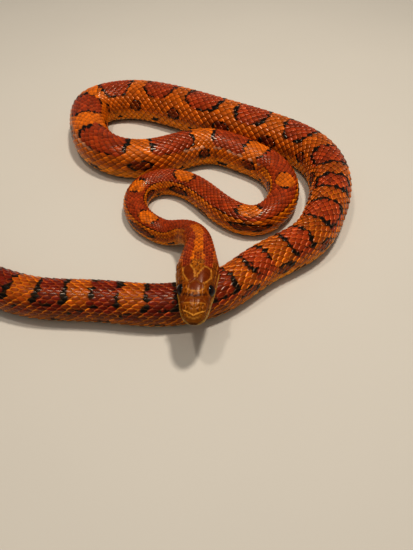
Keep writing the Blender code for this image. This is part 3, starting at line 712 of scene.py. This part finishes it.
def insidePolygon(points, corners):
    inside = np.zeros(len(points), bool)
    for one, two in zip(corners, np.roll(corners, -1, axis=0)):
        crosses = (one[1] > points[:, 1]) != (two[1] > points[:, 1])
        with np.errstate(divide="ignore", invalid="ignore"):
            at = one[0] + (points[:, 1] - one[1]) / (two[1] - one[1]) * (two[0] - one[0])
        inside ^= crosses & (points[:, 0] < at)
    return inside


def shieldRim(corners):
    # the rim stepped finely, drawn in by the seam, rounded at its corners and kept clear of the eye
    rim = []
    for one, two in zip(corners, np.roll(corners, -1, axis=0)):
        parts = max(2, int(np.ceil(np.linalg.norm(two - one) / shields["step"])))
        rim += [one + (two - one) * i / parts for i in range(parts)]
    rim = np.array(rim)
    for _ in range(2):
        rim = rim * 0.5 + (np.roll(rim, 1, axis=0) + np.roll(rim, -1, axis=0)) * 0.25
    tangent = unit(np.roll(rim, -1, axis=0) - np.roll(rim, 1, axis=0))
    normal = np.stack([tangent[:, 1], -tangent[:, 0]], 1)
    if np.sum(normal * (rim - rim.mean(axis=0))) < 0:
        normal = -normal
    rim = rim - normal * shields["seam"]
    for side in (1, -1):
        hub = eyeHub(side)
        away = rim - hub
        gap = np.linalg.norm(away, axis=1)
        near = gap < eye["opening"]
        rim[near] = hub + away[near] / gap[near][:, None] * eye["opening"]
    return rim


def makeShield(corners, store):
    # rings from the root up over a rounded rim, then in over a low dome to the middle
    rim = shieldRim(np.asarray(corners, float))
    middle = rim.mean(axis=0)
    away = rim - middle
    gap = np.linalg.norm(away, axis=1)[:, None]
    rise, dome, root = shields["rise"], shields["dome"], shields["root"]
    rows = [(rim, -root), (rim, shields["lip"])]
    for drawn, height in shields["rimCurve"]:
        rows.append((rim - away / gap * np.minimum(drawn, gap * 0.3), rise * height))
    inner = rows[-1][0] - middle
    steps = max(2, int(np.ceil(gap.mean() / shields["step"])))
    for share in 1 - np.arange(1, steps) / steps:
        rows.append((middle + inner * share, rise + dome * (1 - share ** 2)))
    count = len(rim)
    last, total = (len(rows) - 1) * count, len(rows) * count
    faces = []
    for start in range(0, last, count):
        faces += band(start, start + count, count)
    for i in range(count):
        j = (i + 1) % count
        faces += [(last + i, last + j, total), (j, i, total + 1)]
    if turnOf(rim) > 0:
        faces = [face[::-1] for face in faces]
    store["spots"] += [row for row, _ in rows] + [middle[None], middle[None]]
    store["heights"] += [np.full(count, height) for _, height in rows] + [[rise + dome, -root]]
    store["edgeHighlight"] += [np.repeat([1.0, 1.0, 1.0, 0.8] + [0.0] * (len(rows) - 4), count), [0.0, 0.0]]
    store["faces"] += [[store["count"] + v for v in face] for face in faces]
    store["count"] += total + 2
    store["rims"].append(rim)


def makeShields():
    store = {"spots": [], "heights": [], "edgeHighlight": [], "faces": [], "rims": [], "count": 0}

    def lay(patches, side, wayOf):
        for corners in patches:
            corners = np.round(np.array(corners) / 1000, 6)
            makeShield([(back, side * wayOf(back, out)) for back, out in corners], store)

    def layLip(stops, side, depth):
        past = math.copysign(outlines["lipRoom"], depth)
        patches = [[(fore, past), (fore, depth), (rear, depth), (rear, past)]
                   for fore, rear in zip(stops, stops[1:])]
        lay(patches, side, lambda back, height: wayRise(back, mouthRise(back)[0] + height))

    for side in (1, -1):
        lay(outlines["top"].values(), side, wayAcross)
        lay(outlines["flank"].values(), side, wayRise)
        layLip(outlines["upperLip"], side, outlines["upperDepth"])
        layLip(outlines["lowerLip"], side, -outlines["lowerDepth"])
        lay(outlines["chin"], side, wayUnder)
    lay([outlines["frontal"]], 1, wayAcross)
    s, way = np.concatenate(store["spots"]).T
    points = onForm(s, way, np.concatenate(store["heights"]))
    colours = markHead(s, way)
    # pale rims on every shield: partly pale keratin, partly painted highlight where the rounded edges catch the
    # light
    edgeHighlight = np.concatenate(store["edgeHighlight"]) * shields["paleEdgeHighlight"] * (0.75 + 0.5 * ripple(s * 900, way * 1100))
    colours = blend(colours, colours * 1.15 + tone["line"] * 0.24, np.clip(edgeHighlight, 0, 1))
    return addMesh("headShields", points, store["faces"], colours, unwrapAt(s, way), shieldKeratin), store["rims"]


# the rostral over the tip of the upper jaw and the mental under it, as half-sunk domes
tips = {
    # distance back of the middle, height over the head's base, half sizes: along, across and up
    "rostral": (0.00150, 0.00535, (0.00165, 0.00290, 0.00155)),
    "mental": (0.00230, 0.00265, (0.00150, 0.00265, 0.00085))}


def makeTips():
    made = []
    row = np.searchsorted(form["stations"], 0.001)
    along, side, up = form["along"][0], form["side"][0], form["up"][0]
    for name, (back, rise, half) in tips.items():
        item, ball = addSphere(name + "Shield", 40, 24, 1.0)
        across, high, ahead = (ball * np.array(half)[[1, 2, 0]]).T
        spots = (form["base"][row] + along * (back - form["stations"][row]) + up * rise
                 - along * ahead[:, None] + side * across[:, None] + up * high[:, None])
        item.data.vertices.foreach_set("co", spots.ravel())
        s = np.clip(back - ahead, 0, 0.004)
        way = np.where(name == "mental", halfRoundAt(s) * 0.8, across)
        root = unwrapAt(np.full(len(s), back), np.zeros(len(s)))
        item.data.flip_normals()
        dress(item.data, markHead(s, way), shieldKeratin, root + ball[:, :2] * unwrap["patch"] / 2)
        made.append(item)
    return made


# the coat of keeled scales
coat = {
    # distance and scale length in mm, rows from the back's middle to the belly scutes
    "lay": [(20, 1.5, 14.5), (32, 1.7, 14.5), (50, 1.95, 14.5), (100, 2.5, 13.5),
            (180, 3.1, 13.5), (300, 4, 13.5), (460, 4.6, 13.5), (600, 4.1, 12.5),
            (780, 3.9, 11.5), (940, 3.4, 9.5), (1000, 3, 7.5), (1060, 2.6, 5.5),
            (1130, 1.6, 3.0)],
    "start": 0.0135,
    "topStart": (0.0215, 0.70),      # behind the shields of the top: distance, and share of the half round down
    "cheekStart": (0.0150, 0.80),    # to which the shields reach, and the same on the cheeks
    "mouthEnd": 0.0232,
    "mouthRoom": 0.0009,
    "headEnd": 0.026,                # the head's own colours end here
    "tailEnd": 0.0015,               # none on the very tip of the tail
    "reach": (-0.16, 1.09),   # from the root to the tip, in lengths
    "width": [(0, 0.80), (60, 0.82), (200, 0.86), (1130, 0.86)],   # of the room a scale has, by distance in mm
    "thick": 0.19,            # of a row's pitch
    "thickest": 0.00042,
    "keel": 0.07,
    "sideLift": 0.00002,      # of the rows beside the middle one
    "most": 2300,             # scales in one piece
    "stations": [0.14, 0.30, 0.48, 0.66, 0.82, 0.94],
    "across": [-1.0, -0.72, -0.40, 0.0, 0.40, 0.72, 1.0],
    # how pale the thin edge and the tip of a scale are, partly pale keratin and partly painted highlight, by
    # distance in mm from the snout
    "paleRimAndHighlight": [(0, 0.62), (38, 0.58), (60, 0.30), (200, 0.33), (560, 0.38), (690, 0.85), (1130, 0.55)],
    "rimHighlightGain": 0.56,
    "coveredShade": [(0, 0.66), (600, 0.60), (690, 0.46)],             # painted shade: how dark a scale is where the one in front covers it
    "own": 0.38,              # how far a scale's colour is that of its own middle, against the pattern's
    "shadeSpread": 0.17,      # how much scales differ in brightness, and their pale edges in strength
    "edgeSpread": 0.35,
}


def scalePattern():
    # one scale: t from root to tip, b across, h the top's height, and shares for the pale rim (partly painted
    # highlight), for the keel and for the painted shade where the scale in front covers it
    stations, across = np.array(coat["stations"]), np.array(coat["across"])
    n = len(across)
    place, value = np.repeat(stations, n), np.tile(across, len(stations))
    halfWidth = (1 - np.abs(2 * place - 0.96) ** 1.9) ** 0.75
    sides = np.interp(np.abs(value), [0.40, 0.72, 1.0], [0.0, 0.65, 1.0]) * ramp(place, 0.30, 0.2)

    def whole(root, body, tip):
        return np.concatenate([[root], body, [tip]])

    t = whole(0.0, place - 0.02 * (1 - value ** 2), 1.0)
    b = whole(0.0, value * halfWidth, 0.0)
    covered = np.maximum(0.18, 0.60 * (1 - (1 - np.minimum(np.abs(b), 1)) ** 1.9))    # by the scales in front
    last = 1 + (len(stations) - 1) * n
    tip = len(t) - 1
    faces = []
    for i in range(n - 1):
        faces += [(0, 1 + i, 2 + i), (tip, last + i + 1, last + i)]
    for row in range(1, last, n):
        faces += [(a, a + n, a + n + 1, a + 1) for a in range(row, row + n - 1)]
    # the underside goes straight across from rim to rim
    faces += [(row, row + n - 1, row + 2 * n - 1, row + n) for row in range(1, last, n)]
    faces += [(0, n, 1), (tip, last, last + n - 1)]
    return {"t": t, "b": b, "faces": faces, "h": whole(0.0, 1 - 0.75 * np.abs(value) ** 2.6, 0.35),
            "rim": whole(0.0, np.maximum(sides, 0.7 * (place > 0.9)), 1.0),
            "keel": whole(0.0, np.exp(-(value / 0.22) ** 2), 0.3), "coveredShade": 1 - ramp(t, covered - 0.05, 0.26)}


def coatLay(s):
    pitch, count = read(coat["lay"], s * 1000)
    return pitch / 1000, count


def coatRows():
    # the distances at which rows across the body start
    rows = [coat["start"]]
    while rows[-1] < form["length"] - 0.004:
        rows.append(rows[-1] + float(coatLay(rows[-1])[0]))
    return np.array(rows)


def scalePlaces(rows, rims):
    # root, length and column of every scale, apart from where shields, eyes or the mouth are
    places = []
    for s in rows:
        pitch, count = (float(value) for value in coatLay(s))
        width = float(halfRoundAt(s)) * markings["ventralEdge"] / count
        most = int(round(float(halfRoundAt(s)) / width)) if s < 0.031 else int(math.floor(count + 0.35))
        places += [(s + (pitch / 2 if j % 2 else 0.0), pitch, j) for j in range(-most, most + 1)]
    starts, lengths, columns = np.array(places).T
    centre = starts + lengths * 0.5
    way = columns * halfRoundAt(centre) * markings["ventralEdge"] / coatLay(centre)[1]
    keep = centre < form["length"] - coat["tailEnd"]
    spot = np.stack([starts + lengths * 0.30, way], 1)
    for rim in rims:
        keep &= ~insidePolygon(spot, rim)
    for side in (1, -1):
        keep &= np.linalg.norm(spot - eyeHub(side), axis=1) > eye["room"]
    for start, share in (coat["topStart"], coat["cheekStart"]):
        keep &= (starts > start) | (np.abs(way) > halfRoundAt(centre) * share)
    mouthWay = np.array([wayRise(s, float(mouthRise(s)[0])) if s < 0.026 else 1.0 for s in starts])
    keep &= ~((np.abs(np.abs(way) - mouthWay) < coat["mouthRoom"]) & (starts < coat["mouthEnd"]))
    return starts[keep], lengths[keep], columns[keep]


def makeScales(rows, rims):
    starts, lengths, columns = scalePlaces(rows, rims)
    rng = np.random.default_rng(11)
    chance = rng.random(len(starts))
    shade = np.clip(rng.normal(1.0, coat["shadeSpread"], len(starts)), 0.6, 1.5)
    edgeLuck = np.clip(rng.normal(1.0, coat["edgeSpread"], len(starts)), 0.2, 1.8)
    pattern = scalePattern()
    t, b = pattern["t"][None], pattern["b"][None]
    points = t.size
    low, high = coat["reach"]
    own = coat["own"]
    pieces = []
    for first in range(0, len(starts), coat["most"]):
        pick = slice(first, first + coat["most"])
        s0, size, column = starts[pick][:, None], lengths[pick][:, None], columns[pick][:, None]
        s = np.minimum(s0 + size * (low + (high - low) * t), form["length"])
        # the form of each scale: thin at its root, with a keel along its middle
        pitch = halfRoundAt(s) * markings["ventralEdge"] / coatLay(s)[1]
        way = pitch * (column + read(coat["width"], s0 * 1000) * b)
        thick = np.minimum(pitch * coat["thick"], coat["thickest"]) * (0.4 + 0.6 * ramp(s, 0.026, 0.03))
        lean = 0.05 + 0.95 * ramp(t, 0, 0.9)
        height = thick * lean * (1.2 * pattern["h"] + 4 * coat["keel"] * pattern["keel"])
        height = height - coatDepth(s) + coat["sideLift"] * (column != 0)
        spots = onForm(s.ravel(), way.ravel(), height.ravel())
        spots[:, 2] = np.maximum(spots[:, 2], 0.0)
        # its colour: partly the marking at its own middle, partly the one under each point
        s1 = ((s0 + size * 0.62) * own + s * (1 - own)).ravel()
        way1 = (column * pitch[:, points // 2][:, None] * own + way * (1 - own)).ravel()
        colour = markAll(s1, way1, np.repeat(chance[pick], points))
        colour = np.where((s1 < coat["headEnd"])[:, None], markHead(s1, way1), colour).reshape(-1, points, 3)
        # the pale edge and tip: partly pale keratin, partly painted highlight where a scale's edge catches the
        # light
        red, green = colour[:, :, :1], colour[:, :, 1:2]
        pale = np.where(green > 0.13 * red, tone["paleOrange"], tone["pale"]) * np.clip(red * 6, 0.12, 1.0)
        pale = colour * 1.2 + coat["rimHighlightGain"] * pale
        rim = read(coat["paleRimAndHighlight"], s0 * 1000) * pattern["rim"] * edgeLuck[pick][:, None]
        rim = np.clip(rim, 0, 1)[:, :, None]
        # painted shade on each scale where the one in front covers it
        coveredShade = (read(coat["coveredShade"], s0 * 1000) * ramp(s0, 0.0240, 0.003) * pattern["coveredShade"])[:, :, None]
        full = colour * (1 - rim) * (1 - coveredShade) + pale * rim * (1 - 0.3 * coveredShade)
        full = np.clip(full * shade[pick][:, None, None], 0.0, 1.0)
        patch = np.stack([pattern["t"] - 0.5, pattern["b"] * 0.5], 1) * unwrap["patch"]
        uvs = unwrapAt(s0[:, 0], way[:, 0])[:, None] + patch[None]
        faces = repeatFaces(pattern["faces"], points, len(s0))
        pieces.append(addMesh(f"keeledScales{len(pieces) + 1}", spots, faces, full.reshape(-1, 3),
                              uvs.reshape(-1, 2), scaleKeratin))
    print("scales", len(starts), "in", len(pieces), "pieces")
    return pieces


# belly scutes
scutes = {"start": 0.0285, "reach": (-0.10, 1.16), "edge": 0.745, "thick": 0.00030, "across": 15,
          "stations": [0.0, 0.10, 0.35, 0.65, 0.86, 0.95, 1.0]}


def makeScutes(rows):
    starts = rows[rows > scutes["start"]]
    count, n = scutes["across"], len(scutes["stations"])
    shape = (len(starts), 2, n, count)          # scutes, top and underside, stations and points across
    low, high = scutes["reach"]
    s0, size = starts[:, None, None, None], coatLay(starts)[0][:, None, None, None]
    top = np.array([1.0, 0.0])[None, :, None, None]
    t, b = np.array(scutes["stations"])[:, None], np.linspace(-1, 1, count)

    def spread(values):
        return np.broadcast_to(values, shape).ravel()

    s = np.minimum(spread(s0 + size * (low + (high - low) * t) - size * 0.10 * np.abs(b) ** 2.5), form["length"])
    span = (1 - 0.10 * (1 - t) - 0.06 * ramp(t, 0.85, 0.15)) * (1 - scutes["edge"] * 0.985)
    way = halfRoundAt(s) * spread(np.where(b < 0, -1, 1) * (1 - np.abs(b) * span))
    rise = spread((0.08 + 0.92 * t) * (1 - 0.5 * np.abs(b) ** 6) * np.where(t > 0.97, 0.55, 1.0) * top)
    depth = coatDepth(s)
    points = onForm(s, way, np.minimum(scutes["thick"], depth * 0.88) * rise - depth + 0.00001)
    points[:, 2] = np.maximum(points[:, 2], 0.0)
    colours = markAll(s, way * 0.999, np.full(len(s), 0.5))
    uvs = unwrapAt(spread(s0), way * 0.98)
    uvs[:, 0] += spread(unwrap["patch"] / 2 * (t - 0.5))
    faces = []
    for a in (row + i for row in range(0, (n - 1) * count, count) for i in range(count - 1)):
        faces.append((a, a + 1, a + count + 1, a + count))
    under = n * count
    faces += [tuple(under + v for v in face[::-1]) for face in faces]
    for i in range(count - 1):
        a, c = (n - 1) * count + i, under + (n - 1) * count + i
        faces += [(i + 1, i, under + i, under + i + 1), (a, a + 1, c + 1, c)]
    for a in range(0, (n - 1) * count, count):
        c, d, e = under + a, a + count - 1, under + a + count - 1
        faces += [(a, a + count, c + count, c), (d + count, d, e, e + count)]
    return addMesh("bellyScutes", points, repeatFaces(faces, 2 * under, len(starts)), colours, uvs, scuteKeratin)


# eyes
def eyeMaterial():
    # a clear spectacle over a dark brown iris and a round pupil: wet gloss
    made, tree = newMaterial("clear spectacle over a dark iris")
    pigment = addNode(tree, "ShaderNodeAttribute", {"attribute_name": "marking"}).outputs["Color"]
    shader = addNode(tree, "ShaderNodeBsdfPrincipled",
                     {"IOR": 1.40, "Roughness": 0.08, "Specular IOR Level": 0.25, "Coat Weight": 0.35,
                      "Coat Roughness": 0.03}, {"Base Color": pigment})
    addNode(tree, "ShaderNodeOutputMaterial", None, {"Surface": shader.outputs["BSDF"]})
    return made


def makeEyes(material):
    base = form["base"][np.searchsorted(form["stations"], eye["back"])]
    side, up, along = form["side"][0], form["up"][0], form["along"][0]
    for sign, name, node in ((1, "eyeRight", "eye_right"), (-1, "eyeLeft", "eye_left")):
        item, ball = addSphere(name, 48, 32, eye["radius"])
        # the sphere's own pole turns outward and a little forward and up
        look = unit(side * sign * 0.93 - along * 0.30 + up * 0.20)
        one = unit(np.cross(look, up))
        two = np.cross(one, look)
        if np.dot(np.cross(one, two), look) < 0:
            one = -one
        centre = base + side * sign * eye["out"] + up * eye["rise"]
        spots = centre + ball[:, :1] * one + ball[:, 1:2] * two + ball[:, 2:] * look
        item.data.vertices.foreach_set("co", spots.ravel())
        off = np.degrees(np.arccos(np.clip(ball[:, 2] / eye["radius"], -1, 1)))
        start, end = eye["irisRing"]
        ring = ramp(off, start, 4) * (1 - ramp(off, end, 6)) * 0.8
        dress(item.data, blend(linear(eye["pupil"])[None], linear(eye["iris"])[None], ring), material)
        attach(item, "root")
        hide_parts(node)


skinPiece = makeSkin()
print("skin done")
shieldPiece, shieldRims = makeShields()
print("head shields done")
tipPieces = makeTips()
coatStarts = coatRows()
scalePieces = makeScales(coatStarts, shieldRims)
scutePiece = makeScutes(coatStarts)
print("belly scutes done")
makeEyes(eyeMaterial())
print("eyes done")

flesh = [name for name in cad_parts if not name.startswith("eye")]
for piece in [skinPiece, scutePiece] + scalePieces:
    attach(piece, "root")
for piece in [shieldPiece] + tipPieces:
    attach(piece, "root")
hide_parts(*flesh)


# floor, light and camera
studio = {
    "floor": "#C2B8A8",
    # name, size, power, place, aim: two small bright lights overhead and a large dim ceiling
    "lamps": [("skylight", 0.08, 3.6, (0.22, 0.12, 0.74), (0.04, 0.0, 0.0)),
              ("secondLight", 0.05, 1.0, (-0.10, 0.04, 0.68), (0.04, 0.0, 0.0)),
              ("ceiling", 1.0, 1.8, (-0.1, -0.4, 1.1), (0.0, 0.0, 0.0))],
    "world": 0.20,
    "camera": (0.0765, -0.182, 0.150),      # place, about 150 mm over the floor
    "tilt": 39.56,                          # degrees from straight down
    "frame": 413 / 550}                     # the photo's width over its height


def makeFloor():
    deselectAll()
    bpy.ops.mesh.primitive_plane_add(size=6.0, location=(0, 0, 0))
    floor = bpy.context.object
    floor.name = "plainFloor"
    made, tree = newMaterial("matt pale floor paint")
    where = addNode(tree, "ShaderNodeTexCoord").outputs["Object"]
    cloud = addNode(tree, "ShaderNodeTexNoise", {"Scale": 9.0, "Detail": 3.0}, {"Vector": where}).outputs["Fac"]
    base = linear(studio["floor"])
    tint = addNode(tree, "ShaderNodeMix", {"data_type": "RGBA"}, {0: cloud})
    tint.inputs[6].default_value = (*(base * 0.97), 1.0)
    tint.inputs[7].default_value = (*np.minimum(base * 1.03, 1.0), 1.0)
    shader = addNode(tree, "ShaderNodeBsdfPrincipled", {"Roughness": 0.7}, {"Base Color": tint.outputs[2]})
    addNode(tree, "ShaderNodeOutputMaterial", None, {"Surface": shader.outputs["BSDF"]})
    floor.data.materials.append(made)


def makeLights():
    for name, size, power, place, aim in studio["lamps"]:
        lamp = bpy.data.lights.new(name, "AREA")
        lamp.size = size
        lamp.energy = power
        lamp.color = (1.0, 0.97, 0.93)
        item = addItem(name, lamp)
        item.location = place
        x, y, z = np.array(aim) - np.array(place)
        item.rotation_euler = (math.atan2(math.hypot(x, y), -z), 0, math.atan2(-x, y))
    world = bpy.data.worlds.new("soft room light")
    world.use_nodes = True
    air = world.node_tree.nodes["Background"].inputs
    air["Color"].default_value = (0.95, 0.97, 1.0, 1.0)
    air["Strength"].default_value = studio["world"]
    scene = bpy.context.scene
    scene.world = world
    scene.view_settings.view_transform = "Standard"     # colours as they are, not softened
    scene.view_settings.look = "Medium High Contrast"


def makeCamera():
    data = bpy.data.cameras.new("photo camera")
    data.sensor_width = 36.0
    data.lens = studio["frame"] * data.sensor_width
    data.clip_start = 0.005
    item = addItem("photo camera", data)
    item.location = studio["camera"]
    item.rotation_euler = (math.radians(studio["tilt"]), 0, 0)
    bpy.context.scene.camera = item


makeFloor()
makeLights()
makeCamera()
print("floor, lights and camera done")
